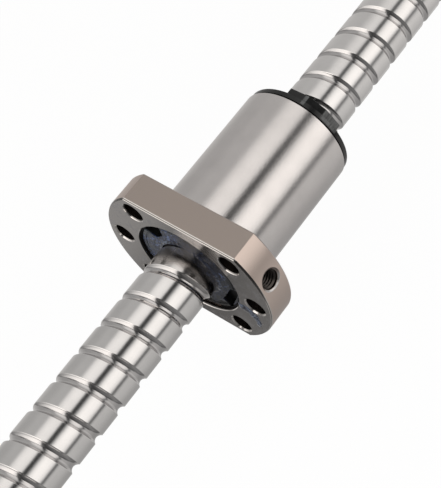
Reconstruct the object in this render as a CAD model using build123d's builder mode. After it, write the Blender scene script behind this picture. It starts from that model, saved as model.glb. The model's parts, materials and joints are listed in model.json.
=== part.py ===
from build123d import *
from math import acos, cos, degrees, floor, pi, radians, sin, sqrt, tan
import os

# Ball screw: a rolled screw shaft with its flanged nut, in millimetres.
# The axis of the screw is X. X = 0 is the seating face of the flange, and the nut's body points to +X.
# Z is square to the two flats of the flange. Angles lie in the YZ plane, from +Y towards +Z.

os.makedirs("parts", exist_ok=True)

# Screw shaft
shaft_dia = 19.8
lead = 10.0
front_overhang = 96.0
shaft_length = 230.0
end_chamfer = 1.0

# Balls, and the track that they run in
ball_dia = 3.175
ball_count = 15
track_conformity = 0.545
track_depth = 0.866
track_phase = 16.7

# Nut
flange_dia = 58.0
flange_thick = 10.0
flange_flats = 44.0
flange_chamfer = 0.4
body_dia = 36.0
body_length = 45.0
body_chamfer = 0.5
track_gap = 1.0
bolt_circle = 47.0
bolt_hole_dia = 6.6
bolt_angles = (-45, 0, 45, 135, 180, 225)

# Grease port in the rim of the flange
port_angle = 157.5
port_drill_dia = 5.0
port_mouth_dia = 7.0
port_depth = 8.5
grease_way_dia = 2.0

# Seats for the end caps, and the bore that takes the balls back
front_seat_dia = 35.5
front_seat_depth = 8.0
rear_seat_wall = 1.25
shortest_spigot = 5.0
return_offset = 4.0
return_play = 0.5

# Front end cap and the retaining ring that holds it
cap_recess = 1.0
cap_clearance = 0.05
shaft_clearance = 0.4
ring_thick = 0.9
ring_width = 1.05
ring_groove_depth = 0.55
ring_play = 0.06
ring_gap = 30.0
ring_gap_angle = 255.0
notch_angles = (45.0, 197.0)
notch_inner_dia = 26.4
notch_span = 32.0
notch_depth = 2.2

# Rear end cap
rear_rim_dia = 35.2
rear_rim_thick = 2.0
collar_dia = 25.4
collar_height = 3.3
lug_dia = 31.0
lug_sides = 15
lug_angle = 4.7
lug_gap_angles = (52.7, 172.7, 292.7)
lug_gap = 48.0
rear_web = 0.6

# Wipers, and the deflectors that turn the balls into the return bore
wiper_width = 2.4
wiper_thick = 2.0
wiper_gap = 0.25
deflector_lift = 0.2
deflector_wall = 0.4
deflector_thick = 4.2
deflector_margin = 10.0
deflector_play = 0.1

# Worked out from the sizes above
shaft_radius = shaft_dia / 2
track_radius = ball_dia * track_conformity
pitch_radius = shaft_radius - track_depth + track_radius
return_circle = 2 * (pitch_radius + return_offset)
return_bore_dia = ball_dia + return_play
rear_seat_dia = body_dia - 2 * rear_seat_wall
nut_bore_dia = shaft_dia + 2 * track_gap
cap_bore_dia = shaft_dia + 2 * shaft_clearance
wiper_bore_dia = shaft_dia + 2 * wiper_gap
wiper_dia = cap_bore_dia + 2 * wiper_width
deflector_inner_dia = nut_bore_dia + 2 * deflector_lift
deflector_outer_dia = rear_seat_dia - 2 * deflector_wall
flange_front = -flange_thick
cap_face = flange_front + cap_recess
front_seat = flange_front + front_seat_depth
rim_end = body_length + rear_rim_thick
nut_end = rim_end + collar_height
shaft_start = flange_front - front_overhang
shaft_end = shaft_start + shaft_length
ring_outer_dia = front_seat_dia + 2 * (ring_groove_depth - ring_play)
ring_inner_dia = ring_outer_dia - 2 * ring_width
ring_seat = cap_face + ring_thick + 2 * ring_play
boss_dia = ring_inner_dia - 4 * ring_play

# A ball leaves the track on a tangent and meets the return bore after this angle.
# Both ends share one bore, so the pick-ups stand a whole number of turns apart, less that angle twice.
tangent_run = sqrt((return_circle / 2) ** 2 - pitch_radius**2)
reach_angle = degrees(acos(2 * pitch_radius / return_circle))
front_pickup = front_seat - deflector_thick / 2
rear_room = body_length - shortest_spigot + deflector_thick / 2
track_turns = floor((rear_room - front_pickup) / lead + reach_angle / 180)
rear_pickup = front_pickup + lead * (track_turns - reach_angle / 180)
rear_seat = rear_pickup - deflector_thick / 2


def across(x, turn=0):
    """The plane square to the axis at x, with its first axis turned from +Y."""
    return Plane(origin=(x, 0, 0), x_dir=(0, *polar(1, turn)), z_dir=(1, 0, 0))


def polar(radius, angle):
    """A point of a sketch square to the axis."""
    return (radius * cos(radians(angle)), radius * sin(radians(angle)))


def track_angle(x):
    """The angle at which the track's centre passes x."""
    return track_phase + 360 * x / lead


def track_path(start, end):
    """The helix that the centres of the balls follow."""
    helix = Helix(lead, end - start, pitch_radius, direction=(1, 0, 0), mode=Mode.PRIVATE)
    return Pos(start, 0, 0) * Rot(track_turn(start), 0, 0) * helix


def track_turn(start):
    """How far a helix from start is turned, and with it the bar or bore that it cuts."""
    return track_angle(start) - 90


def section_plane(path):
    """The plane square to a path at its start, with its first axis away from X."""
    start = path @ 0
    return Plane(origin=start, x_dir=(0, start.Y, start.Z), z_dir=path % 0)


def sector(inner_dia, outer_dia, centre, span):
    """A piece of a flat ring about the angle centre."""
    with BuildSketch(mode=Mode.PRIVATE) as piece:
        with BuildLine():
            inner = CenterArc((0, 0), inner_dia / 2, centre - span / 2, span)
            outer = CenterArc((0, 0), outer_dia / 2, centre - span / 2, span)
            Line(inner @ 0, outer @ 0)
            Line(inner @ 1, outer @ 1)
        make_face()
    return piece.sketch


def save(piece, name):
    """Labels a finished piece and writes its file."""
    piece.part.label = name
    export_step(piece.part, f"parts/{name}.step")


# Screw shaft: a ground bar with one right-hand ball track rolled into it
with BuildPart() as screw_shaft:
    with BuildSketch(across(shaft_start, track_turn(shaft_start - lead / 2))):
        Circle(shaft_radius)
    extrude(amount=shaft_end - shaft_start)
    chamfer(screw_shaft.faces().sort_by(Axis.X)[0].edges(), end_chamfer)
    chamfer(screw_shaft.faces().sort_by(Axis.X)[-1].edges(), end_chamfer)
    shaft_track = track_path(shaft_start - lead / 2, shaft_end + lead / 2)
    with BuildSketch(section_plane(shaft_track)):
        Circle(track_radius)
    sweep(path=shaft_track, is_frenet=True, mode=Mode.SUBTRACT)
save(screw_shaft, "screw_shaft")

# Nut: the flange and the body are one hardened piece
with BuildPart() as nut_body:
    with BuildSketch(across(flange_front)):
        Circle(flange_dia / 2)
        Rectangle(flange_dia, flange_flats, mode=Mode.INTERSECT)
    extrude(amount=flange_thick)
    chamfer(nut_body.faces().sort_by(Axis.X)[0].edges(), flange_chamfer)
    chamfer(nut_body.faces().sort_by(Axis.X)[-1].edges(), flange_chamfer)
    with BuildSketch(across(0)):
        Circle(body_dia / 2)
    extrude(amount=body_length)
    chamfer(nut_body.faces().sort_by(Axis.X)[-1].edges(), body_chamfer)

    # Seats of the two end caps
    with BuildSketch(across(flange_front)):
        Circle(front_seat_dia / 2)
    extrude(amount=front_seat_depth, mode=Mode.SUBTRACT)
    with BuildSketch(across(body_length)):
        Circle(rear_seat_dia / 2)
    extrude(amount=rear_seat - body_length, mode=Mode.SUBTRACT)

    # Ball track, six-sided in section because it can't be seen, cut before the bore that opens it to the screw
    nut_track = track_path(front_seat - lead / 2, rear_seat + lead / 2)
    with BuildSketch(section_plane(nut_track)):
        RegularPolygon(track_radius, 6, major_radius=False)
    sweep(path=nut_track, is_frenet=True, mode=Mode.SUBTRACT)
    with BuildSketch(across(front_seat, track_turn(front_seat - lead / 2))):
        Circle(nut_bore_dia / 2)
    extrude(amount=rear_seat - front_seat, mode=Mode.SUBTRACT)

    # Return bore
    return_angle = track_angle(front_pickup) - reach_angle
    with BuildSketch(across(front_seat)):
        with Locations(polar(return_circle / 2, return_angle)):
            Circle(return_bore_dia / 2)
    extrude(amount=rear_seat - front_seat, mode=Mode.SUBTRACT)

    # Groove for the retaining ring
    with BuildSketch(across(cap_face)):
        Circle(front_seat_dia / 2 + ring_groove_depth)
    extrude(amount=ring_seat - cap_face, mode=Mode.SUBTRACT)

    # Bolt holes
    with BuildSketch(across(flange_front)):
        with Locations([polar(bolt_circle / 2, angle) for angle in bolt_angles]):
            Circle(bolt_hole_dia / 2)
    extrude(amount=flange_thick, mode=Mode.SUBTRACT)

    # Grease port, and its way into the seat of the front cap
    port_way = Vector(0, *polar(1, port_angle))
    port_mouth = Vector(flange_front / 2, *polar(flange_dia / 2, port_angle))
    with Locations(Plane(origin=port_mouth, z_dir=port_way)):
        CounterSinkHole(port_drill_dia / 2, port_mouth_dia / 2, port_depth, 90)
        Hole(grease_way_dia / 2, (flange_dia - front_seat_dia) / 2 + ring_groove_depth)
save(nut_body, "nut_body")

# Retaining ring: a flat spring ring, split where it is squeezed to fit
with BuildPart() as retaining_ring:
    with BuildSketch(across(cap_face + ring_play)):
        add(sector(ring_inner_dia, ring_outer_dia, ring_gap_angle + 180, 360 - ring_gap))
    extrude(amount=ring_thick)
save(retaining_ring, "retaining_ring")

# Front end cap: a moulded disc in the flange, with a step that the ring bears on
front_deflector_angle = track_angle(front_pickup) - reach_angle / 2
pocket_inner_dia = deflector_inner_dia - 2 * deflector_play
pocket_outer_dia = deflector_outer_dia + 2 * deflector_play
deflector_span = reach_angle + 2 * deflector_margin
pocket_span = deflector_span + 1
pocket_depth = deflector_thick + deflector_play
with BuildPart() as front_end_cap:
    with BuildSketch(across(ring_seat)):
        Circle(front_seat_dia / 2 - cap_clearance)
    extrude(amount=front_seat - ring_seat)
    with BuildSketch(across(cap_face)):
        Circle(boss_dia / 2)
    extrude(amount=ring_seat - cap_face)
    with BuildSketch(across(cap_face)):
        Circle(cap_bore_dia / 2)
    extrude(amount=front_seat - cap_face, mode=Mode.SUBTRACT)
    with BuildSketch(across(cap_face)):
        Circle(wiper_dia / 2)
    extrude(amount=wiper_thick + cap_clearance, mode=Mode.SUBTRACT)
    with BuildSketch(across(front_seat)):
        add(sector(pocket_inner_dia - 2, pocket_outer_dia, front_deflector_angle, pocket_span))
    extrude(amount=-pocket_depth, mode=Mode.SUBTRACT)
    with BuildSketch(across(cap_face)):
        for angle in notch_angles:
            add(sector(notch_inner_dia, boss_dia + 4 * ring_play, angle, notch_span))
    extrude(amount=notch_depth, mode=Mode.SUBTRACT)
    with Locations(Plane(origin=port_mouth, z_dir=port_way)):
        Hole(grease_way_dia / 2, flange_dia / 2 - shaft_radius)
save(front_end_cap, "front_end_cap")

# Rear end cap: a moulded spigot with a rim on the end of the body, and a collar with three faceted lugs
rear_deflector_angle = track_angle(rear_pickup) + reach_angle / 2
rear_wiper_start = rim_end - rear_web - wiper_thick
with BuildPart() as rear_end_cap:
    with BuildSketch(across(rear_seat)):
        Circle(rear_seat_dia / 2 - cap_clearance)
    extrude(amount=body_length - rear_seat)
    with BuildSketch(across(body_length)):
        Circle(rear_rim_dia / 2)
    extrude(amount=rear_rim_thick)
    with BuildSketch(across(rim_end)):
        RegularPolygon(lug_dia / 2, lug_sides, rotation=lug_angle)
        for angle in lug_gap_angles:
            add(sector(collar_dia - 2, lug_dia + 2, angle, lug_gap), mode=Mode.SUBTRACT)
        Circle(collar_dia / 2)
    extrude(amount=collar_height)
    with BuildSketch(across(rear_seat)):
        Circle(cap_bore_dia / 2)
    extrude(amount=nut_end - rear_seat, mode=Mode.SUBTRACT)
    with BuildSketch(across(rear_seat)):
        Circle(wiper_dia / 2)
    extrude(amount=rear_wiper_start + wiper_thick - rear_seat, mode=Mode.SUBTRACT)
    with BuildSketch(across(rear_seat)):
        add(sector(pocket_inner_dia, pocket_outer_dia, rear_deflector_angle, pocket_span))
    extrude(amount=pocket_depth, mode=Mode.SUBTRACT)
save(rear_end_cap, "rear_end_cap")


def wiper(start, name):
    """A flat wiper that keeps dirt out of the nut."""
    with BuildPart() as ring:
        with BuildSketch(across(start)):
            Circle(wiper_dia / 2 - cap_clearance)
            Circle(wiper_bore_dia / 2, mode=Mode.SUBTRACT)
        extrude(amount=wiper_thick)
    save(ring, name)


wiper(cap_face, "front_wiper")
wiper(rear_wiper_start, "rear_wiper")


def deflector(seat, pickup, way, name):
    """A moulded insert whose channel takes the balls off the track on a tangent and turns them along X."""
    angle = track_angle(pickup)
    tangent = Vector(0, *polar(1, angle + way * 90))
    start = Vector(pickup, *polar(pitch_radius, angle))
    corner = start + tangent * tangent_run
    leaving = Vector(-way, 0, 0)
    with BuildPart() as insert:
        with BuildSketch(across(seat)):
            add(sector(deflector_inner_dia, deflector_outer_dia, angle + way * reach_angle / 2, deflector_span))
        extrude(amount=way * deflector_thick)
        with BuildSketch(Plane(origin=start - tangent * tangent_run / 2, z_dir=tangent)):
            Circle(return_bore_dia / 2)
        extrude(amount=tangent_run * 1.5, mode=Mode.SUBTRACT)
        with BuildSketch(Plane(origin=corner, z_dir=leaving)):
            Circle(return_bore_dia / 2)
        extrude(amount=deflector_thick, mode=Mode.SUBTRACT)
    save(insert, name)


deflector(front_seat, front_pickup, -1, "front_ball_deflector")
deflector(rear_seat, rear_pickup, 1, "rear_ball_deflector")

# Balls: spread along the loaded track, each cut with few flat faces because none of them shows
ball_corner = ball_dia / 2 * 1.02
ball_flat = ball_corner / sqrt(1 + 2 * tan(pi / 8) ** 2)
ball_margin = 0.7 * ball_dia
first_ball = front_seat + ball_margin
for number in range(ball_count):
    place = first_ball + (rear_seat - front_seat - 2 * ball_margin) * number / (ball_count - 1)
    centre = Vector(place, *polar(pitch_radius, track_angle(place)))
    name = f"ball_{number + 1:02d}"
    with BuildPart() as ball:
        for direction, mode in ((1, 0, 0), Mode.ADD), ((0, 1, 0), Mode.INTERSECT), ((0, 0, 1), Mode.INTERSECT):
            with BuildSketch(Plane(origin=centre, z_dir=direction)):
                RegularPolygon(ball_flat, 8, major_radius=False, rotation=22.5)
            extrude(amount=ball_flat, both=True, mode=mode)
    save(ball, name)
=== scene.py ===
import json
import math

import bpy
import bmesh
from mathutils import Matrix, Vector, noise


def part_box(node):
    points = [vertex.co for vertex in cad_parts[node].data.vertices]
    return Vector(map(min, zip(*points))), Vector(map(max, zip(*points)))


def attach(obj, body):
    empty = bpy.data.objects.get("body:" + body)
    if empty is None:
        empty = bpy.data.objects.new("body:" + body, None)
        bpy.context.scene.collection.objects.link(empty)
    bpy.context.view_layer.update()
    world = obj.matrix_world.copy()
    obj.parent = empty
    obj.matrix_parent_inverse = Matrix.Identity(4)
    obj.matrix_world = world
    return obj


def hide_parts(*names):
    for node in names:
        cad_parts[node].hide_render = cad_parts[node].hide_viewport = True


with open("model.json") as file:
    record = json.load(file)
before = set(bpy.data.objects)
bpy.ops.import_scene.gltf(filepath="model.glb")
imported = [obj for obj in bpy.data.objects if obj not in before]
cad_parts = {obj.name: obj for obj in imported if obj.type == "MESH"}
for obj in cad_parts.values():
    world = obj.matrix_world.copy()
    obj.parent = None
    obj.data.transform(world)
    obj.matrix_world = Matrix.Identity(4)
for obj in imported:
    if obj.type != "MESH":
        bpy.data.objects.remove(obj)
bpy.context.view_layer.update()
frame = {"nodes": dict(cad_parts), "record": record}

print("frame loaded,", len(frame["nodes"]), "nodes")

# The pieces are modelled in millimetres, with the screw along X, and put into metres by finishPiece.
# The studio is in metres.
metre = 0.001


def cornersOf(node):
    low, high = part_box(node)
    return low / metre, high / metre


# node trees

class Wire:  # one socket of a node tree, so that node maths reads as plain sums
    def __init__(self, tree, socket=None):
        self.tree = tree
        self.socket = socket

    def node(self, kind, settings=None, sockets=None, output=0):
        made = self.tree.nodes.new(kind)
        for key, value in (settings or {}).items():
            if key == "stops":
                fillRamp(made.color_ramp, value)
            else:
                setattr(made, key, value)
        for key, value in (sockets or {}).items():
            self.feed(made.inputs[key], value)
        return Wire(self.tree, made.outputs[output])

    def feed(self, target, value):
        if isinstance(value, Wire):
            self.tree.links.new(value.socket, target)
        else:
            target.default_value = value

    def out(self, name):  # another output of the same node
        return Wire(self.tree, self.socket.node.outputs[name])

    def sums(self, operation, *values):
        return self.node("ShaderNodeMath", {"operation": operation}, dict(enumerate(values)))

    def __add__(self, other):
        return self.sums("ADD", self, other)

    def __sub__(self, other):
        return self.sums("SUBTRACT", self, other)

    def __mul__(self, other):
        return self.sums("MULTIPLY", self, other)

    def __truediv__(self, other):
        return self.sums("DIVIDE", self, other)

    def __rsub__(self, other):
        return self.sums("SUBTRACT", other, self)

    def __rtruediv__(self, other):
        return self.sums("DIVIDE", other, self)

    __radd__ = __add__
    __rmul__ = __mul__

    def root(self):
        return self.sums("SQRT", self)

    def size(self):
        return self.sums("ABSOLUTE", self)

    def larger(self, other):
        return self.sums("MAXIMUM", self, other)

    def smaller(self, other):
        return self.sums("MINIMUM", self, other)

    def between(self, low, high):  # 0 at low, 1 at high, soft at both ends
        return self.node("ShaderNodeMapRange", {"interpolation_type": "SMOOTHSTEP"},
                         {"Value": self, "From Min": low, "From Max": high})

    def within(self, start, full, fall, end):  # 1 from full to fall, 0 before start and after end
        return self.between(start, full) * (1 - self.between(fall, end))

    def past(self, level, blur=0.06):  # 1 beyond a level, 0 before it
        return self.between(level - blur / 2, level + blur / 2)

    def mixed(self, first, second):  # this value blends two colours
        return self.node("ShaderNodeMix", {"data_type": "RGBA"},
                         {"Factor": self, 6: first, 7: second}, output=2)


def fillRamp(ramp, stops):
    while len(ramp.elements) > 1:
        ramp.elements.remove(ramp.elements[-1])
    for number, (place, colour) in enumerate(stops):
        element = ramp.elements[0] if number == 0 else ramp.elements.new(place)
        element.position = place
        element.color = colour


def grey(level, warmth=0.0):
    return (level * (1 + warmth), level, level * (1 - warmth), 1)


def newMaterial(name):
    material = bpy.data.materials.new(name)
    material.use_nodes = True
    tree = material.node_tree
    tree.nodes.clear()
    shader = tree.nodes.new("ShaderNodeBsdfPrincipled")
    output = tree.nodes.new("ShaderNodeOutputMaterial")
    tree.links.new(shader.outputs[0], output.inputs[0])
    return material, Wire(tree), shader


def placeOf(wire):  # where a point lies on its piece, in millimetres
    place = wire.node("ShaderNodeTexCoord", output=3)
    return wire.node("ShaderNodeVectorMath", {"operation": "SCALE"}, {0: place, "Scale": 1 / metre})


def axesOf(place):  # a place's X along the screw, Y and Z
    parts = place.node("ShaderNodeSeparateXYZ", None, {0: place})
    return parts, parts.out("Y"), parts.out("Z")


def noiseOf(place, density, detail=3.0, roughness=0.55):
    # density is one number, or one for each axis where the grain is drawn out
    density = density if isinstance(density, tuple) else (density,) * 3
    scaled = place.node("ShaderNodeVectorMath", {"operation": "MULTIPLY"}, {0: place, 1: density})
    return place.node("ShaderNodeTexNoise", None,
                      {"Vector": scaled, "Scale": 1.0, "Detail": detail, "Roughness": roughness})


def bumpOf(wire, relief):  # relief is a height in millimetres
    return wire.node("ShaderNodeBump", None, {"Height": relief, "Strength": 1.0, "Distance": metre})


# steel of the screw

screwFinish = {
    "colour": (0.90, 0.885, 0.875, 1),
    "dull": (0.78, 0.765, 0.755, 1),
    "track": (0.70, 0.685, 0.68, 1),
    "trackEdge": 9.81,  # radius below which the surface is the rolled track's
    "film": (0.60, 0.57, 0.55, 1),
    "filmSpan": (-18.5, -11.5, -8.0, -7.0),  # along X: the stretch beside the nut where the screw is drawn darker and rougher
    "roughness": 0.11,
    "trackRoughness": 0.13,
    "waves": 0.012,
    "scuffs": 0.0045,
}


def makeScrewSteel():
    material, wire, shader = newMaterial("screwSteel")
    place = placeOf(wire)
    x, y, z = axesOf(place)
    across = ((y * y) + (z * z)).root()
    inTrack = 1 - across.past(screwFinish["trackEdge"], 0.14)
    # darker and rougher stretch of the screw beside the nut
    film = x.within(*screwFinish["filmSpan"])
    cloud = noiseOf(place, 0.22, 4)
    grind = noiseOf(place, (8.0, 0.5, 0.5), 4, 0.65)
    wave = noiseOf(place, (0.75, 0.3, 0.3), 2)
    fleck = noiseOf(place, 3.0, 4, 0.7).between(0.60, 0.70)

    worn = cloud.between(0.3, 0.8) * 0.35 + fleck * 0.35
    land = worn.mixed(screwFinish["colour"], screwFinish["dull"])
    steel = inTrack.mixed(land, screwFinish["track"])
    wire.feed(shader.inputs["Base Color"], film.mixed(steel, screwFinish["film"]))
    wire.feed(shader.inputs["Metallic"], 1.0)
    rough = grind * 0.07 + fleck * 0.10 + (screwFinish["roughness"] - 0.035)
    rough = rough + inTrack * (screwFinish["trackRoughness"] - screwFinish["roughness"])
    rough = rough + film * (cloud * 0.06 + y.between(0.0, 5.0) * 0.20)
    wire.feed(shader.inputs["Roughness"], rough)
    relief = wave * screwFinish["waves"] + grind * screwFinish["scuffs"]
    wire.feed(shader.inputs["Normal"], bumpOf(wire, relief))
    return material


# measures of the nut and its grease port

rearLow, rearHigh = cornersOf("rear_end_cap")
nut = {
    "flangeFront": -10.0,
    "flangeRadius": 28.99,
    "flatHeight": 22.0,
    "bodyRadius": 18.0,
    "bodyEnd": 45.0,
    "boreRadius": 10.9,
    "seatRadius": 17.75,
    "seatEnd": -2.0,
    "seatEdge": 0.2,
    "rearSeatRadius": 16.75,
    "rearSeat": rearLow.x,
    "grooveStart": -9.0,
    "grooveEnd": -7.98,
    "grooveRadius": 18.3,
    "boltRadius": 23.5,
    "holeRadius": 3.3,
    "holeEdge": 0.42,
    "boltAngles": (-45, 0, 45, 135, 180, 225),
    "rimEdge": 0.5,   # the broken edge's width round the rim, as a share of that along the flats
    "backEdge": 0.6,  # its size at the flange's back, as a share of that in front
    "bodyEdge": 0.7,
    "arcSteps": 56,
    "flatSteps": 12,
}

port = {
    "angle": 157.5,
    "x": -5.0,
    "minor": 2.5,
    "major": 3.02,
    "pitch": 1.0,
    "groove": (0.10, 0.44, 0.56),  # where in each pitch a groove starts, is full and falls off again
    "lean": 0.25,                  # share of the pitch by which each ring is tipped
    "threadDepth": 7.5,
    "drillDepth": 8.5,
    "drillTip": 1.4,
    "mouth": 3.6,
    "chamfer": 0.5,
    "wayRadius": 1.0,
    "wayDepth": 16.0,
}

# steel of the nut: satin ground body, blasted flats, turned rim, and a fine front face

nutFinish = {
    "body": (0.86, 0.825, 0.81, 1),
    "bodyDull": (0.76, 0.73, 0.715, 1),
    "flat": (0.50, 0.435, 0.395, 1),
    "rim": (0.74, 0.62, 0.555, 1),
    "front": (0.90, 0.86, 0.83, 1),
    "chamfer": (0.74, 0.71, 0.68, 1),
    # the hole colour is painted shade: it darkens the bolt holes, the port, the seat wall, part of the port's
    # mouth and a band on the broken edges
    "hole": (0.05, 0.047, 0.045, 1),
    # the mouth colour is a painted highlight on one side of the port's mouth
    "mouth": (0.97, 0.95, 0.93, 1),
    "stain": (0.40, 0.42, 0.52, 1),
    "bodyRoughness": 0.15,
    "flatRoughness": 0.52,
    "rimRoughness": 0.30,
    "frontRoughness": 0.13,
}


def farFrom(first, second, level, out):  # how far a point is from an axis, across it
    return (((first - level) * (first - level)) + ((second - out) * (second - out))).root()


# masks of the nut's surfaces, where the small numbers are offsets in millimetres from the nut's own measures
def nutRegions(place):
    x, y, z = axesOf(place)
    across = ((y * y) + (z * z)).root()
    side, height = y.size(), z.size()
    front, radius, flat = nut["flangeFront"], nut["flangeRadius"], nut["flatHeight"]
    region = {"flange": 1 - x.between(-0.3, -0.05)}
    region["flat"] = height.past(flat - 0.1, 0.1) * region["flange"]

    edge = (height - flat).larger((across - radius) / nut["rimEdge"])
    region["front"] = (1 - x.past(front + 0.2, 0.08)) * (1 - edge.past(-0.67))
    region["chamfer"] = (1 - x.past(front + 0.61)) * (1 - region["front"])
    # painted shade on the broken edges: a dark band along the middle of each, and a stretch on the +Z side
    # darkened, both in the hole colour
    paintedDarkBand = edge.within(-0.44, -0.38, -0.22, -0.16)
    shade = (1 - height.past(flat - 0.65, 0.1)) * z.between(9.0, 16.0)
    region["edge"] = region["chamfer"] * (paintedDarkBand * 0.8).larger(shade * 0.9)

    # painted shade: the seat wall, the bolt holes and the grease port are darkened inside
    wall = x.past(front + 0.525, 0.15).larger(x.past(front + 0.12, 0.08) * y.between(0.0, 5.0))
    inside = (1 - across.past(nut["seatRadius"] + 0.07, 0.08)) * wall
    corner = nut["boltRadius"] * math.sqrt(0.5)
    fromHole = farFrom(side, height, corner, corner).smaller(farFrom(side, height, nut["boltRadius"], 0.0))
    inHole = (1 - fromHole.past(nut["holeRadius"] + 0.045, 0.07)) * x.past(front + 0.5, 0.2)

    turn = math.radians(port["angle"])
    outward = y * math.cos(turn) + z * math.sin(turn)
    aside = y * math.sin(turn) - z * math.cos(turn)
    fromPort = farFrom(x, aside, port["x"], 0.0)
    inPort = (1 - fromPort.past(port["major"] + 0.09)) * (1 - outward.past(radius - 0.59, 0.4))
    inPort = inPort * outward.past(nut["seatRadius"] - 1.25, 1.0)
    onMouth = fromPort.past(port["major"] + 0.07) * (1 - fromPort.past(port["mouth"] - 0.01))
    onMouth = onMouth * outward.past(radius - 2.49, 1.0)
    # painted highlight on one side of the port's mouth chamfer, and painted shade on the rest of it
    bright = (-1 * aside).between(-0.5, 2.2)
    region["mouthDark"] = onMouth * (1 - bright) * 0.6
    region["mouthBright"] = onMouth * bright
    region["dark"] = (inHole * region["flange"] * 0.86).larger(inPort * 0.94).larger(inside * 0.9)
    return region


def makeNutSteel():
    material, wire, shader = newMaterial("nutSteel")
    place = placeOf(wire)
    region = nutRegions(place)
    onFlange, onFlat, onFront = region["flange"], region["flat"], region["front"]
    cloud = noiseOf(place, 0.12)
    grain = noiseOf(place, 3.0, 6, 0.75)
    turned = noiseOf(place, (7.0, 0.25, 0.25), 4, 0.7)
    fine = noiseOf(place, 5.0, 3, 0.7)
    satin = noiseOf(place, 1.3, 5, 0.75)
    smear = noiseOf(place, 0.35, 5, 0.6).between(0.5, 0.62) * onFront

    worn = cloud.between(0.3, 0.75) * 0.5 + (grain - 0.5) * 0.9
    body = worn.mixed(nutFinish["body"], nutFinish["bodyDull"])
    colour = onFlange.mixed(body, nutFinish["rim"])
    # the hole and mouth layers below paint shade and a highlight onto the steel
    layers = [
        (onFlat, "flat"), (onFront, "front"), (region["chamfer"], "chamfer"),
        (region["mouthDark"], "hole"), (region["mouthBright"], "mouth"), (region["edge"], "hole"),
        (smear * 0.2, "stain"), (region["dark"], "hole"),
    ]
    for mask, layer in layers:
        colour = mask.mixed(colour, nutFinish[layer])
    wire.feed(shader.inputs["Base Color"], colour)
    wire.feed(shader.inputs["Metallic"], 1.0)

    rim = nutFinish["rimRoughness"]
    rough = onFlange * (rim - nutFinish["bodyRoughness"]) + nutFinish["bodyRoughness"]
    rough = rough + onFlat * (nutFinish["flatRoughness"] - rim)
    rough = rough + (onFront + region["chamfer"]) * (nutFinish["frontRoughness"] - rim) * (1 - onFlat)
    wire.feed(shader.inputs["Roughness"], rough + (grain - 0.5) * 0.14 + smear * 0.06)
    onRim = onFlange * (1 - onFlat) * (1 - onFront)
    relief = fine * (onFlat * 0.007 + 0.0010) + satin * (1 - onFlange) * 0.022 + turned * onRim * 0.004
    wire.feed(shader.inputs["Normal"], bumpOf(wire, relief))
    return material


# black plastic, some of it under a film of grease, and some of it with dust streaks, a painted sheen and a
# painted highlight

capFinish = {
    "plastic": (0.0045, 0.0046, 0.0046, 1),
    "faded": (0.010, 0.0102, 0.0104, 1),
    "dustAndSheen": (0.078, 0.080, 0.080, 1),
    "roughness": 0.11,
    "film": (0.040, 0.046, 0.056, 1),
    "grease": (0.010, 0.015, 0.036, 1),
    "fleck": (0.11, 0.16, 0.32, 1),
    "recessShade": (0.002, 0.002, 0.002, 1),
    "recessShadeStart": (-8.85, -8.5),  # painted shade: the notches' walls and the bore go near black over this stretch of X
    "rimStart": (45.5, 45.7),    # the rear cap's rim and lugs start over these
    "lugStart": (46.95, 47.15),
    "paintedCornerHighlight": (1.7, 2.2, 2.9, 3.2),      # how far right of the axis a lug's corner with a painted highlight lies
    "dustAndSheenFacet": (8.4, 9.0, 13.3, 13.5),   # and its facet with dust streaks over a painted sheen
    "rimShift": 0.95,            # both lie this much further right on the rim
}


def plasticBase(place):
    cloud = noiseOf(place, 0.4, 5, 0.6)
    fine = noiseOf(place, 5.0, 3, 0.7)
    colour = cloud.between(0.35, 0.75).mixed(capFinish["plastic"], capFinish["faded"])
    return cloud, fine, colour, cloud * 0.08 + capFinish["roughness"]


def makeGreasyPlastic(name):
    material, wire, shader = newMaterial(name)
    place = placeOf(wire)
    x, y, z = axesOf(place)
    across = ((y * y) + (z * z)).root()
    cloud, fine, colour, rough = plasticBase(place)
    left, right = y.between(-2.0, 6.0), -1 * y
    patch = noiseOf(place, 0.30, 5, 0.65)
    crumbs = noiseOf(place, 0.95, 5, 0.75)
    smear = (patch + (1 - across.between(12.0, 16.0)) * 0.14).between(0.47, 0.60)
    # the film, grease and flecks are laid on more thickly on the +Y side and by the second notch, so the cap is
    # drawn lighter there
    film = left * 0.95 + right.between(11.0, 14.0) * 0.15 + 0.02
    nearNotch = right.between(10.5, 12.5) * z.within(-5.0, -1.0, 5.0, 9.0)
    flecks = crumbs.between(0.53, 0.60) * smear * (left * 0.75 + 0.15 + nearNotch * 0.5)
    # painted shade deeper than the face, in the notches and the bore
    recessShade = x.between(*capFinish["recessShadeStart"])
    layers = [(film, "film"), (smear * (left * 0.7 + 0.3), "grease"), (flecks, "fleck"), (recessShade, "recessShade")]
    for mask, layer in layers:
        colour = mask.mixed(colour, capFinish[layer])
    wire.feed(shader.inputs["Base Color"], colour)
    wire.feed(shader.inputs["Roughness"], rough * (1 - smear * 0.4) + recessShade * 0.3)
    wire.feed(shader.inputs["Coat Weight"], (smear * 0.4 + 0.4) * left * (1 - recessShade))
    wire.feed(shader.inputs["Coat Roughness"], 0.10)
    wire.feed(shader.inputs["Normal"], bumpOf(wire, fine * 0.001 + cloud * 0.010 + crumbs * smear * 0.05))
    return material


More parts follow.
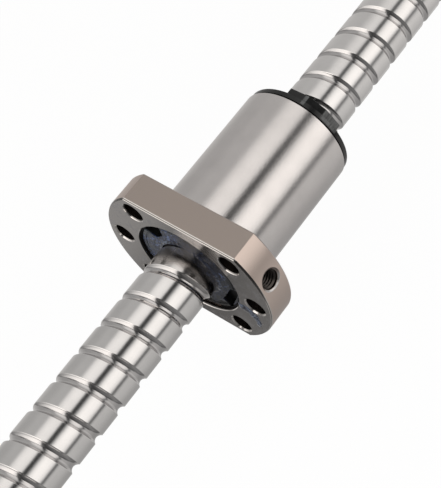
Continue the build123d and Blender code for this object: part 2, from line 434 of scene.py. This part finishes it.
def makeDustAndSheenPlastic(name):
    material, wire, shader = newMaterial(name)
    place = placeOf(wire)
    x, y, z = axesOf(place)
    cloud, fine, colour, rough = plasticBase(place)
    drawn = noiseOf(place, (0.10, 3.2, 3.2), 3, 0.7)
    right = -1 * y - (1 - x.between(*capFinish["lugStart"])) * capFinish["rimShift"]
    # painted highlight on a lug's corner, and on the facet beside it dust streaks over a painted sheen, both in
    # the dust colour
    corner = right.within(*capFinish["paintedCornerHighlight"]) * z.between(10.0, 11.0)
    facetDustAndSheen = (drawn.between(0.36, 0.60) * 0.8 + 0.2) * right.within(*capFinish["dustAndSheenFacet"])
    dustAndSheen = facetDustAndSheen.larger(corner) * x.between(*capFinish["rimStart"])
    wire.feed(shader.inputs["Base Color"], dustAndSheen.mixed(colour, capFinish["dustAndSheen"]))
    wire.feed(shader.inputs["Roughness"], rough)
    wire.feed(shader.inputs["Normal"], bumpOf(wire, fine * 0.0006 + cloud * 0.003 + drawn * 0.002))
    return material


greaseFinish = {
    "thin": (0.085, 0.105, 0.150, 1),
    "thick": (0.010, 0.012, 0.022, 1),
    "roughness": 0.14,
    "ripples": 0.03,
}


def makeGrease():
    material, wire, shader = newMaterial("grease")
    place = placeOf(wire)
    y, z = axesOf(place)[1:]
    cloud = noiseOf(place, 0.9, 5, 0.6)
    ripple = noiseOf(place, 2.2, 4, 0.6)
    # the grease is drawn lighter on the +Y side and by the second notch, and darker elsewhere
    lighterSide = y.between(2.0, 7.0).larger((-1 * y).between(9.0, 12.0) * (1 - z.between(2.0, 6.0)) + 0.12)
    spread = cloud.between(0.42, 0.60) * lighterSide
    wire.feed(shader.inputs["Base Color"], spread.mixed(greaseFinish["thick"], greaseFinish["thin"]))
    wire.feed(shader.inputs["Roughness"], cloud * 0.12 + greaseFinish["roughness"])
    wire.feed(shader.inputs["Coat Weight"], cloud.between(0.3, 0.6) * 0.6)
    wire.feed(shader.inputs["Normal"], bumpOf(wire, ripple * greaseFinish["ripples"]))
    return material


# steel of the ring and the balls

hiddenSteel = {
    "ring": (0.030, 0.031, 0.033, 1),
    "ringRoughness": 0.35,
    "ball": (0.75, 0.75, 0.76, 1),
    "ballRoughness": 0.05,
    "wornShare": 0.6,
}


def makePlainSteel(name, colour, roughness):
    material, wire, shader = newMaterial(name)
    place = placeOf(wire)
    cloud = noiseOf(place, 0.8, 4)
    fine = noiseOf(place, 5.0, 3, 0.7)
    worn = tuple(hiddenSteel["wornShare"] * v for v in colour[:3]) + (1,)
    wire.feed(shader.inputs["Base Color"], cloud.mixed(colour, worn))
    wire.feed(shader.inputs["Metallic"], 1.0)
    wire.feed(shader.inputs["Roughness"], cloud * 0.15 + roughness)
    wire.feed(shader.inputs["Normal"], bumpOf(wire, fine * 0.002))
    return material


materials = {
    "screw_steel": makeScrewSteel(),
    "nut_steel": makeNutSteel(),
    "cap_plastic": makeDustAndSheenPlastic("capPlastic"),
    "front_plastic": makeGreasyPlastic("frontPlastic"),
    "wiper_plastic": makeGreasyPlastic("wiperPlastic"),
    "deflector_plastic": makeDustAndSheenPlastic("deflectorPlastic"),
    "grease": makeGrease(),
    "ring_steel": makePlainSteel("ringSteel", hiddenSteel["ring"], hiddenSteel["ringRoughness"]),
    "ball_steel": makePlainSteel("ballSteel", hiddenSteel["ball"], hiddenSteel["ballRoughness"]),
}
print("materials made")


# mesh helpers

def pieceFrom(name, points, faces):
    mesh = bpy.data.meshes.new(name)
    mesh.from_pydata(points, [], faces)
    mesh.validate()
    piece = bpy.data.objects.new(name, mesh)
    bpy.context.scene.collection.objects.link(piece)
    return piece


def rodOf(name, profile, steps=64):
    # a turned solid: profile is an open run of (x, radius) points, and flat faces close its two ends
    points, faces = [], []
    for k in range(steps):
        angle = 2 * math.pi * k / steps
        points += [(x, r * math.cos(angle), r * math.sin(angle)) for x, r in profile]
    count = len(profile)
    for k in range(steps):
        here, there = k * count, (k + 1) % steps * count
        faces += [(here + i, here + i + 1, there + i + 1, there + i) for i in range(count - 1)]
    faces.append([k * count for k in range(steps)])
    faces.append([k * count + count - 1 for k in reversed(range(steps))])
    return pieceFrom(name, points, faces)


def prism(name, outline, low, high):
    # outline is a closed run of (y, z) points, drawn out along X
    count = len(outline)
    points = [(x, y, z) for x in (low, high) for y, z in outline]
    faces = [tuple(range(count)), tuple(range(count, 2 * count))]
    faces += [(k, (k + 1) % count, (k + 1) % count + count, k + count) for k in range(count)]
    return pieceFrom(name, points, faces)


def polar(radius, angle):
    return radius * math.cos(math.radians(angle)), radius * math.sin(math.radians(angle))


def sectorOutline(inner, outer, start, end, steps=24):
    turns = [start + (end - start) * k / steps for k in range(steps + 1)]
    return [polar(outer, turn) for turn in turns] + [polar(inner, turn) for turn in reversed(turns)]


def fixNormals(piece):
    work = bmesh.new()
    work.from_mesh(piece.data)
    bmesh.ops.recalc_face_normals(work, faces=work.faces)
    work.to_mesh(piece.data)
    work.free()


def settle(piece):  # makes the modifiers' result the mesh itself
    graph = bpy.context.evaluated_depsgraph_get()
    result = bpy.data.meshes.new_from_object(piece.evaluated_get(graph))
    piece.modifiers.clear()
    piece.data = result


def combine(piece, other, operation):
    fixNormals(other)
    step = piece.modifiers.new("combine", "BOOLEAN")
    step.object = other
    step.operation = operation
    step.solver = "EXACT"
    settle(piece)
    bpy.data.objects.remove(other)


def softenEdges(piece, width):
    fixNormals(piece)
    step = piece.modifiers.new("soften", "BEVEL")
    step.width = width
    step.segments = 2
    step.limit_method = "ANGLE"
    step.angle_limit = math.radians(20)
    settle(piece)


def finishPiece(piece, body, material, replaced=(), sharpAngle=28):
    piece.data.transform(Matrix.Scale(metre, 4))
    for polygon in piece.data.polygons:
        polygon.use_smooth = True
    piece.data.set_sharp_from_angle(angle=math.radians(sharpAngle))
    piece.data.materials.clear()
    piece.data.materials.append(material)
    flatten = piece.modifiers.new("flatten", "WEIGHTED_NORMAL")
    flatten.keep_sharp = True
    flatten.weight = 100
    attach(piece, body)
    if replaced:
        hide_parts(*replaced)
    print("piece", piece.name, len(piece.data.polygons), "faces")
    return piece


# screw shaft

screwLow, screwHigh = cornersOf("screw_shaft")
screw = {
    "start": screwLow.x,
    "end": screwHigh.x,
    "radius": 9.9,
    "lead": 10.0,
    "phase": 2.0,           # angle of the track at X = 0, from +Y towards +Z
    "trackCentre": 10.764,  # radius at which the balls run
    "archRadius": 1.84,
    "archOffset": 0.09,     # the two flanks' centres stand this far apart from the middle
    "lip": 0.16,            # width of the rounded edge between the land and the track
    "lipDrop": 0.05,
    "ridge": 0.006,         # fine lines that rolling leaves along the track
    "ridgeWidth": 0.52,
    "chamfer": 1.0,
    "stepsPerTurn": 96,
    "trackSteps": 14,
}


def trackProfile():
    # radius of the screw across half a lead, with a pointed arch for the balls and rounded lips
    centre, arch, offset = screw["trackCentre"], screw["archRadius"], screw["archOffset"]
    outer, lip, drop, steps = screw["radius"], screw["lip"], screw["lipDrop"], screw["trackSteps"]
    mouth = math.sqrt(arch ** 2 - (centre - outer) ** 2) - offset
    half = [(screw["lead"] / 2, outer), (mouth + lip + 0.25, outer), (mouth + lip + 0.06, outer)]
    half += [(mouth + lip * t, outer - drop * (1 - t) ** 2) for t in (1.0, 0.66, 0.33, 0.0)]
    for k in range(1, steps + 1):
        off = (mouth - 0.05) * (1 - k / steps)
        ridge = screw["ridge"] * math.cos(2 * math.pi * off / screw["ridgeWidth"]) * min(1, (mouth - off) * 3)
        half.append((off, centre - math.sqrt(arch ** 2 - (off + offset) ** 2) + ridge))
    return half


def buildScrew():
    half = trackProfile()
    profile = [(-off, r) for off, r in half] + [(off, r) for off, r in reversed(half[:-1])]
    lead, steps = screw["lead"], screw["stepsPerTurn"]
    firstTurn = math.floor(screw["start"] / lead) - 1
    turns = math.ceil(screw["end"] / lead) + 2 - firstTurn
    points, faces = [], []
    count = len(profile)
    for k in range(turns * steps + 1):
        turn = firstTurn + k / steps
        angle = math.radians(screw["phase"]) + 2 * math.pi * turn
        points += [(turn * lead + off, r * math.cos(angle), r * math.sin(angle)) for off, r in profile]
    for k in range(turns * steps):
        here, there = k * count, (k + 1) * count
        faces += [(here + i, here + i + 1, there + i + 1, there + i) for i in range(count - 1)]
    piece = pieceFrom("screwShaft", points, faces)
    work = bmesh.new()
    work.from_mesh(piece.data)
    bmesh.ops.remove_doubles(work, verts=work.verts, dist=1e-4)
    for x, side in ((screw["start"], -1), (screw["end"], 1)):
        inner = x - side * screw["chamfer"]
        for cut, clear in ((x, True), (inner, False)):
            geometry = work.verts[:] + work.edges[:] + work.faces[:]
            bmesh.ops.bisect_plane(work, geom=geometry, plane_co=(cut, 0, 0), plane_no=(side, 0, 0),
                                   clear_outer=clear, dist=1e-5)
        for vertex in work.verts:
            depth = screw["chamfer"] - (vertex.co.x - inner) * side
            reach = screw["radius"] - screw["chamfer"] + depth
            radius = math.hypot(vertex.co.y, vertex.co.z)
            if (vertex.co.x - inner) * side > 0 and radius > reach:
                vertex.co.y *= reach / radius
                vertex.co.z *= reach / radius
        rim = [e for e in work.edges if e.is_boundary and all(abs(v.co.x - x) < 1e-3 for v in e.verts)]
        bmesh.ops.edgeloop_fill(work, edges=rim)
    bmesh.ops.recalc_face_normals(work, faces=work.faces)
    work.to_mesh(piece.data)
    work.free()
    return piece


finishPiece(buildScrew(), "screw", materials["screw_steel"], ("screw_shaft",), sharpAngle=40)

# flanged nut

# How far the flange's outline lies in from its full size, and how far back from its end: a broken edge.
brokenEdge = [(0.62, 0.0), (0.56, 0.015), (0.50, 0.07), (0.07, 0.50), (0.015, 0.56), (0.0, 0.62)]


def flangeOutline(inset, x):
    radius, height = nut["flangeRadius"] - inset * nut["rimEdge"], nut["flatHeight"] - inset
    corner = math.asin(height / radius)
    halfWidth = radius * math.cos(corner)
    loop = []
    for turn in (0, math.pi):
        for k in range(nut["arcSteps"]):
            angle = turn - corner + 2 * corner * k / nut["arcSteps"]
            loop.append((x, radius * math.cos(angle), radius * math.sin(angle)))
        side = math.cos(turn)
        for k in range(nut["flatSteps"]):
            y = halfWidth * (1 - 2 * k / nut["flatSteps"]) * side
            loop.append((x, y, height * side))
    return loop


def buildFlange():
    loops = [flangeOutline(inset, nut["flangeFront"] + back) for inset, back in brokenEdge]
    share = nut["backEdge"]
    loops += [flangeOutline(inset * share, -back * share) for inset, back in reversed(brokenEdge)]
    count = len(loops[0])
    points = [point for loop in loops for point in loop]
    last = len(loops) - 1
    faces = [tuple(range(count)), tuple(range(last * count, (last + 1) * count))]
    for row in range(last):
        for k in range(count):
            a, b = row * count + k, row * count + (k + 1) % count
            faces.append((a, b, b + count, a + count))
    piece = pieceFrom("nutBody", points, faces)
    fixNormals(piece)
    return piece


def portProfile():
    # the thread's grooves are close rings, each tipped later to look like the real helix
    depth, root, major, chamfer = port["drillDepth"], port["minor"], port["major"], port["chamfer"]
    foot, full, end = port["groove"]
    profile = [(-depth - port["drillTip"], 0.02), (-depth, root)]
    start = -port["threadDepth"]
    while start < -chamfer - 0.2:
        profile += [(start + foot, root), (start + full, major), (start + end, major)]
        start += port["pitch"]
    profile = [point for point in profile if point[0] < -chamfer - 0.05]
    return profile + [(-chamfer, major), (0.0, port["mouth"]), (2.0, port["mouth"] + 2.0)]


def buildPort(target):
    thread = rodOf("threadCutter", portProfile(), 48)
    for vertex in thread.data.vertices:
        if -port["threadDepth"] < vertex.co.x < -port["chamfer"] - 0.1:
            around = math.atan2(vertex.co.z, vertex.co.y)
            vertex.co.x += port["lean"] * port["pitch"] * math.sin(around)
    radius = port["wayRadius"]
    way = rodOf("wayCutter", [(-port["wayDepth"], radius), (-port["drillDepth"] + 0.5, radius)], 24)
    out = Vector((0, *polar(1, port["angle"])))
    side = Vector((1, 0, 0))
    turnTo = Matrix((out, side, out.cross(side))).transposed().to_4x4()
    place = Matrix.Translation(Vector((port["x"], 0, 0)) + out * nut["flangeRadius"])
    for cutter in (thread, way):
        cutter.data.transform(place @ turnTo)
        combine(target, cutter, "DIFFERENCE")


def buildNut():
    piece = buildFlange()
    end, radius, share = nut["bodyEnd"], nut["bodyRadius"], nut["bodyEdge"]
    shape = [(-1.0, radius)]
    shape += [(end - share * back, radius - share * inset) for inset, back in reversed(brokenEdge)]
    combine(piece, rodOf("body", shape, 192), "UNION")
    front, edge, seat, rearSeat = nut["flangeFront"], nut["seatEdge"], nut["seatRadius"], nut["rearSeatRadius"]
    bore = rodOf("bore", [
        (front - 1, seat + edge + 1), (front + edge, seat),
        (nut["grooveStart"], seat), (nut["grooveStart"], nut["grooveRadius"]),
        (nut["grooveEnd"], nut["grooveRadius"]), (nut["grooveEnd"], seat),
        (nut["seatEnd"], seat), (nut["seatEnd"], nut["boreRadius"]),
        (nut["rearSeat"], nut["boreRadius"]), (nut["rearSeat"], rearSeat),
        (end - edge, rearSeat), (end + 1, rearSeat + edge + 1),
    ], 192)
    combine(piece, bore, "DIFFERENCE")
    edge, radius = nut["holeEdge"], nut["holeRadius"]
    mouth = radius + edge + 1
    for angle in nut["boltAngles"]:
        hole = rodOf("hole", [(front - 1, mouth), (front + edge, radius), (-edge, radius), (1, mouth)], 64)
        hole.data.transform(Matrix.Translation((0, *polar(nut["boltRadius"], angle))))
        combine(piece, hole, "DIFFERENCE")
    buildPort(piece)
    return piece


finishPiece(buildNut(), "nut", materials["nut_steel"], ("nut_body",))

# front end cap, with two notches for a tool

frontCap = {
    "face": -9.0,
    "back": -2.0,
    "step": -7.98,
    "bossRadius": 17.07,
    "radius": 17.7,
    "boreRadius": 10.3,
    "wiperRadius": 12.7,
    "wiperDepth": 2.05,
    "edge": 0.28,
    "groove": (15.42, 15.80),  # a fine turned line in the face
    "grooveDepth": 0.22,
    "notches": (  # radius and angle of each corner, from the rim inwards and back
        ((17.6, 27.5), (12.9, 33.0), (12.9, 51.5), (17.6, 60.0)),
        ((17.6, 175.5), (14.2, 179.0), (13.3, 192.0), (13.2, 209.0), (13.5, 220.0), (17.6, 221.0)),
    ),
    "notchDepth": 2.2,
    "pocketRadii": (10.9, 16.45),
    "pocketTurns": (174.9, 240.0),
    "pocketDepth": 4.3,
}


def buildFrontCap():
    face, back, edge = frontCap["face"], frontCap["back"], frontCap["edge"]
    boss, radius, step = frontCap["bossRadius"], frontCap["radius"], frontCap["step"]
    (inner, outer), lineEnd = frontCap["groove"], face + frontCap["grooveDepth"]
    piece = rodOf("frontCap", [
        (face, inner), (lineEnd, inner + 0.08), (lineEnd, outer - 0.08), (face, outer),
        (face, boss - edge), (face + edge * 0.3, boss - edge * 0.3), (face + edge, boss), (step, boss),
        (step, radius), (back, radius),
    ], 160)
    fixNormals(piece)
    bore, wiper = frontCap["boreRadius"], frontCap["wiperRadius"]
    depth = face + frontCap["wiperDepth"]
    hole = rodOf("bore", [(face - 1, wiper), (depth, wiper), (depth, bore), (back + 1, bore)], 128)
    combine(piece, hole, "DIFFERENCE")
    for notch in frontCap["notches"]:
        outline = [polar(*corner) for corner in notch]
        combine(piece, prism("notch", outline, face - 1, face + frontCap["notchDepth"]), "DIFFERENCE")
    pocket = sectorOutline(*frontCap["pocketRadii"], *frontCap["pocketTurns"])
    combine(piece, prism("pocket", pocket, back - frontCap["pocketDepth"], back + 1), "DIFFERENCE")
    return piece


finishPiece(buildFrontCap(), "nut", materials["front_plastic"], ("front_end_cap",))

# rear end cap: a spigot in the body, a thin rim, and a collar with three faceted lugs

rearCap = {
    "seat": rearLow.x,
    "rimStart": 45.0,
    "rimEnd": 47.0,
    "rimGap": 0.3,  # between the rim and the end of the nut's body
    "end": rearHigh.x,
    "edge": 0.3,
    "spigotRadius": 16.7,
    "rimRadius": 17.6,
    "collarRadius": 12.7,
    "lugRadii": (11.5, 15.5),
    "lugStarts": (76.7, 196.7, 316.7),
    "lugFacet": 24.0,
    "lugCorners": (0, 0.94, 1.03, 2, 3),  # in facets from the lug's start, with one corner cut
    "lugEdge": 0.12,
    "boreRadius": 10.3,
    "wiperRadius": 12.7,
    "wiperEnd": 46.4,
    "pocketRadii": (11.0, 16.45),
    "pocketTurns": (76.6, 140.8),
    "pocketDepth": 4.3,
}


def roundedEnd(x, radius):  # the last points of a profile that ends at x with a small round edge
    edge = rearCap["edge"]
    return [(x - edge, radius), (x - edge / 3, radius - edge / 3), (x, radius - edge)]


def buildRearCap():
    seat, start, end, top = rearCap["seat"], rearCap["rimStart"], rearCap["rimEnd"], rearCap["end"]
    rim, spigot, collar = rearCap["rimRadius"], rearCap["spigotRadius"], rearCap["collarRadius"]
    start += rearCap["rimGap"]
    piece = rodOf("rearCap", [(seat, spigot), (start, spigot), (start, rim), *roundedEnd(end, rim)], 160)
    fixNormals(piece)
    combine(piece, rodOf("collar", [(end - 1, collar), *roundedEnd(top, collar)], 128), "UNION")
    inner, outer = rearCap["lugRadii"]
    for first in rearCap["lugStarts"]:
        turns = [first + rearCap["lugFacet"] * k for k in rearCap["lugCorners"]]
        outline = [polar(outer, turn) for turn in turns] + [polar(inner, turn) for turn in reversed(turns)]
        lug = prism("lug", outline, end - 0.6, top - 0.01)
        softenEdges(lug, rearCap["lugEdge"])
        combine(piece, lug, "UNION")
    bore, wiper, wiperEnd = rearCap["boreRadius"], rearCap["wiperRadius"], rearCap["wiperEnd"]
    hole = rodOf("bore", [
        (seat - 1, wiper), (wiperEnd, wiper), (wiperEnd, bore),
        (top - rearCap["edge"], bore), (top + 1, bore + rearCap["edge"] + 1),
    ], 128)
    combine(piece, hole, "DIFFERENCE")
    pocket = sectorOutline(*rearCap["pocketRadii"], *rearCap["pocketTurns"])
    combine(piece, prism("pocket", pocket, seat - 1, seat + rearCap["pocketDepth"]), "DIFFERENCE")
    return piece


finishPiece(buildRearCap(), "nut", materials["cap_plastic"], ("rear_end_cap",))

# grease pressed out round the screw, and a smear of it across the flange

grease = {
    "sealRadii": (9.86, 11.9),
    "sealReach": 11.0,
    "sealHeight": 0.42,
    "sealSteps": (22, 240),
    "smear": (  # radius and angle of the middle, and half its width
        (17.9, 194.5, 1.8), (19.6, 192.5, 1.5), (21.6, 193.0, 1.4), (23.6, 195.5, 1.5), (25.2, 200.5, 1.1),
        (26.4, 205.5, 0.7),
    ),
    "smearHeight": 0.12,
    "smearSteps": (16, 24),
    "sunk": 0.06,  # how deep the film's underside lies in the face that it sits on
}


def ruffle(y, z, scale, seed):
    return noise.fractal(Vector((y * scale, z * scale, seed)), 0.8, 2.1, 5)


def greaseFilm(name, face, sheet, closed):
    # sheet is a grid of (y, z, height) points, and the film shows where its height is above zero
    rows, count = len(sheet), len(sheet[0])
    points = [(face - max(height, -0.03), y, z) for row in sheet for y, z, height in row]
    points += [(face + grease["sunk"], y, z) for row in sheet for y, z, height in row]
    under = rows * count
    faces = []
    last = count if closed else count - 1
    for r in range(rows - 1):
        for k in range(last):
            a, b = r * count + k, r * count + (k + 1) % count
            faces.append((a, b, b + count, a + count))
            faces.append((a + under, a + under + count, b + under + count, b + under))
    for k in range(last):
        for row in (0, rows - 1):
            a, b = row * count + k, row * count + (k + 1) % count
            faces.append((a, b, b + under, a + under))
    if not closed:
        for r in range(rows - 1):
            for edge in (0, count - 1):
                a, b = r * count + edge, (r + 1) * count + edge
                faces.append((a, b, b + under, a + under))
    piece = pieceFrom(name, points, faces)
    fixNormals(piece)
    return piece


def buildSeal():
    (inner, outer), (rows, count) = grease["sealRadii"], grease["sealSteps"]
    sheet = []
    for r in range(rows + 1):
        out = inner + (outer - inner) * r / rows
        row = []
        for k in range(count):
            y, z = polar(out, 360 * k / count)
            reach = grease["sealReach"] + 0.75 * ruffle(y, z, 0.35, 3.0)
            swell = min(1.0, max(-0.2, (reach - out) / 0.7)) * (0.65 + 0.5 * ruffle(y, z, 0.8, 8.0))
            row.append((y, z, grease["sealHeight"] * swell - 0.02))
        sheet.append(row)
    return greaseFilm("greaseSeal", frontCap["face"], sheet, True)


def smearRow(start, end, heading, width, share, place):
    # one row across the smear's path: share runs from 0 to 1 between two of its points, place along all of it
    side = Vector((-heading.y, heading.x)).normalized()
    fade = min(1.0, place * 9, (1 - place) * 5)
    steps = grease["smearSteps"][1]
    row = []
    for k in range(steps + 1):
        off = 2 * k / steps - 1
        y, z = start.lerp(end, share) + side * off * width
        body = 0.95 - abs(off) * 0.8 + 0.55 * ruffle(y, z, 0.55, 5.0)
        row.append((y, z, grease["smearHeight"] * min(1.0, max(-0.3, body * fade * 3.0 - 0.05))))
    return row


def buildSmear():
    path = [Vector(polar(radius, angle)) for radius, angle, width in grease["smear"]]
    widths = [width for radius, angle, width in grease["smear"]]
    steps = grease["smearSteps"][0]
    legs = [after - before for before, after in zip(path, path[1:])]
    sheet = []
    for number, leg in enumerate(legs):
        before, after = legs[max(number - 1, 0)], legs[min(number + 1, len(legs) - 1)]
        isLast = number == len(legs) - 1
        for r in range(steps + 1 if isLast else steps):
            share = r / steps
            heading = (before + leg).normalized() * (1 - share) + (leg + after).normalized() * share
            width = widths[number] * (1 - share) + widths[number + 1] * share
            place = (number + share) / len(legs)
            sheet.append(smearRow(path[number], path[number + 1], heading, width, share, place))
    return greaseFilm("greaseSmear", nut["flangeFront"], sheet, False)


for film in (buildSeal(), buildSmear()):
    finishPiece(film, "nut", materials["grease"], sharpAngle=60)

# pieces that stay as the frame has them get their materials, and the ring and wipers softened edges

softened = {
    "nodes": ("retaining_ring", "front_wiper", "rear_wiper"),
    "width": 0.1,
}

slotOf = {part["node"]: part["material_slot"] for part in frame["record"]["subparts"]}
for name, node in frame["nodes"].items():
    node.data.materials.clear()
    node.data.materials.append(materials[slotOf[name]])
    if name in softened["nodes"]:
        step = node.modifiers.new("soften", "BEVEL")
        step.width = softened["width"] * metre
        step.segments = 2
        step.limit_method = "ANGLE"
print("CAD nodes finished")

# studio: a pale floor, a light tent with long gaps in it beside the screw, and the camera

studio = {
    "floorDrop": 0.16,
    "floorSize": 6.0,
    "floorGlow": 0.94,  # share of plain white in how the floor looks to the camera
    "lampPlace": (-0.5, -0.4, 0.9),
    "lampSize": 0.8,
    "lampPower": 9.0,
    # how far a direction leans along the screw where one table of the tent gives way to the next
    "beforeToFront": (-0.40, -0.36),
    "frontToNear": (-0.28, -0.22),
    "nearToFar": (0.44, 0.53),
    "farToBehind": (0.65, 0.98),
}

# How bright the tent is, by the direction's angle about the screw, from +Y towards +Z. These levels were taken
# from levels measured in the photograph and then tuned. The first table is for directions square to the screw,
# and the next two are for ones that lean more and more to its far end.
tentNear = [
    (-90, 0.36), (-56, 0.60), (-46, 0.54), (-30, 0.46), (-8, 0.38), (14, 0.38), (34, 0.43), (57, 0.42),
    (62, 0.52), (66, 0.68), (72, 0.80), (82, 0.88), (95, 0.85), (102, 0.76), (105, 0.50), (108, 0.14),
    (111, 0.05), (117, 0.05), (121, 0.24), (126, 0.60), (131, 0.88), (140, 1.02), (156, 0.98), (166, 0.80),
    (171, 0.50), (174, 0.20), (179, 0.13), (184, 0.40), (190, 0.50), (212, 0.46), (240, 0.35), (262, 0.33),
]
tentFar = [
    (-90, 0.50), (-56, 0.58), (-40, 0.52), (-14, 0.49), (20, 0.46), (48, 0.46), (62, 0.55), (70, 0.62),
    (84, 0.70), (96, 0.67), (101, 0.56), (104, 0.30), (107, 0.13), (112, 0.11), (115, 0.24), (119, 0.60),
    (126, 0.85), (134, 0.99), (148, 1.07), (159, 0.98), (165, 0.74), (169, 0.46), (173, 0.22), (177, 0.20),
    (182, 0.42), (188, 0.58), (198, 0.62), (212, 0.57), (240, 0.47), (256, 0.45), (264, 0.55),
]
tentBehind = [
    (-90, 1.00), (-68, 1.00), (-56, 0.50), (-30, 0.36), (20, 0.28), (60, 0.24), (82, 0.18), (100, 0.12),
    (114, 0.12), (128, 0.34), (142, 0.48), (164, 0.46), (178, 0.18), (200, 0.26), (235, 0.24), (250, 0.40),
    (264, 0.90),
]
# These two are for directions that lean to the near end, which the front faces of the nut show.
tentFront = [
    (-90, 0.16), (-74, 0.12), (-69, 0.12), (-67.5, 0.09), (-66.5, 0.055), (-64, 0.05), (-63.3, 0.12),
    (-62.6, 0.22), (-60, 0.25), (-50, 0.26), (-10, 0.24), (20, 0.16), (50, 0.13), (84, 0.15), (100, 0.22),
    (106, 0.05), (118, 0.03), (128, 0.03), (150, 0.05), (170, 0.08), (200, 0.10), (235, 0.14), (262, 0.15),
]
tentBefore = [
    (-90, 0.16), (-60, 0.22), (-30, 0.32), (-10, 0.50), (20, 0.95), (50, 1.25), (84, 1.40), (100, 1.05),
    (106, 0.14), (118, 0.07), (128, 0.05), (150, 0.12), (170, 0.18), (200, 0.18), (235, 0.26), (262, 0.18),
]


def buildWorld():
    world = bpy.data.worlds.new("studio")
    bpy.context.scene.world = world
    world.use_nodes = True
    tree = world.node_tree
    tree.nodes.clear()
    wire = Wire(tree)
    towards = wire.node("ShaderNodeTexCoord", output=0)
    x, y, z = axesOf(towards)
    angle = z.sums("ARCTAN2", z, y) * (180 / math.pi)
    share = angle.sums("FRACT", (angle + 90) / 360)

    def lit(table):
        stops = [((place + 90) / 360, grey(level, 0.004 + 0.03 * level)) for place, level in table]
        return wire.node("ShaderNodeValToRGB", {"stops": stops}, {0: share})

    around = x.between(*studio["nearToFar"]).mixed(lit(tentNear), lit(tentFar))
    around = x.between(*studio["farToBehind"]).mixed(around, lit(tentBehind))
    around = x.between(*studio["frontToNear"]).mixed(lit(tentFront), around)
    around = x.between(*studio["beforeToFront"]).mixed(lit(tentBefore), around)
    onCamera = wire.node("ShaderNodeLightPath")
    sky = onCamera.mixed(around, (1, 1, 1, 1))
    back = wire.node("ShaderNodeBackground", None, {"Color": sky, "Strength": 1.0})
    out = tree.nodes.new("ShaderNodeOutputWorld")
    wire.feed(out.inputs[0], back)


def buildFloor():
    half, low = studio["floorSize"] / 2, -studio["floorDrop"]
    corners = [(-half, -half, low), (half, -half, low), (half, half, low), (-half, half, low)]
    floor = pieceFrom("floor", corners, [(0, 1, 2, 3)])
    material, wire, shader = newMaterial("paleFloor")
    output = shader.outputs[0].links[0].to_node
    wire.feed(shader.inputs["Base Color"], grey(0.85))
    wire.feed(shader.inputs["Roughness"], 0.9)
    glow = wire.node("ShaderNodeEmission", None, {"Color": (1, 1, 1, 1), "Strength": 1.0})
    seen = wire.node("ShaderNodeLightPath") * studio["floorGlow"]
    plain = Wire(wire.tree, shader.outputs[0])
    wire.feed(output.inputs[0], wire.node("ShaderNodeMixShader", None, {0: seen, 1: plain, 2: glow}))
    floor.data.materials.append(material)
    floor.visible_glossy = False


def buildLamp():
    data = bpy.data.lights.new("fillLamp", "AREA")
    data.shape = "DISK"
    data.size = studio["lampSize"]
    data.energy = studio["lampPower"]
    lamp = bpy.data.objects.new("fillLamp", data)
    bpy.context.scene.collection.objects.link(lamp)
    lamp.location = studio["lampPlace"]
    lamp.rotation_euler = (-Vector(studio["lampPlace"])).to_track_quat("-Z", "Y").to_euler()
    lamp.visible_glossy = False


# where the camera stands, in metres, and which way the right and the top of its picture point
view = {
    "place": Vector((-0.130121, -0.14449, 0.305795)),
    "right": Vector((0.578575, -0.806251, -0.123328)),
    "up": Vector((0.729552, 0.443955, 0.520247)),
    "lens": 92.15,
}


def buildCamera():
    data = bpy.data.cameras.new("camera")
    data.lens = view["lens"]
    data.clip_start = 0.01
    data.clip_end = 20
    camera = bpy.data.objects.new("camera", data)
    bpy.context.scene.collection.objects.link(camera)
    turn = Matrix((view["right"], view["up"], view["right"].cross(view["up"]))).transposed().to_4x4()
    camera.matrix_world = Matrix.Translation(view["place"]) @ turn
    bpy.context.scene.camera = camera


buildWorld()
buildFloor()
buildLamp()
buildCamera()
bpy.context.scene.view_settings.view_transform = "Standard"
print("studio made")
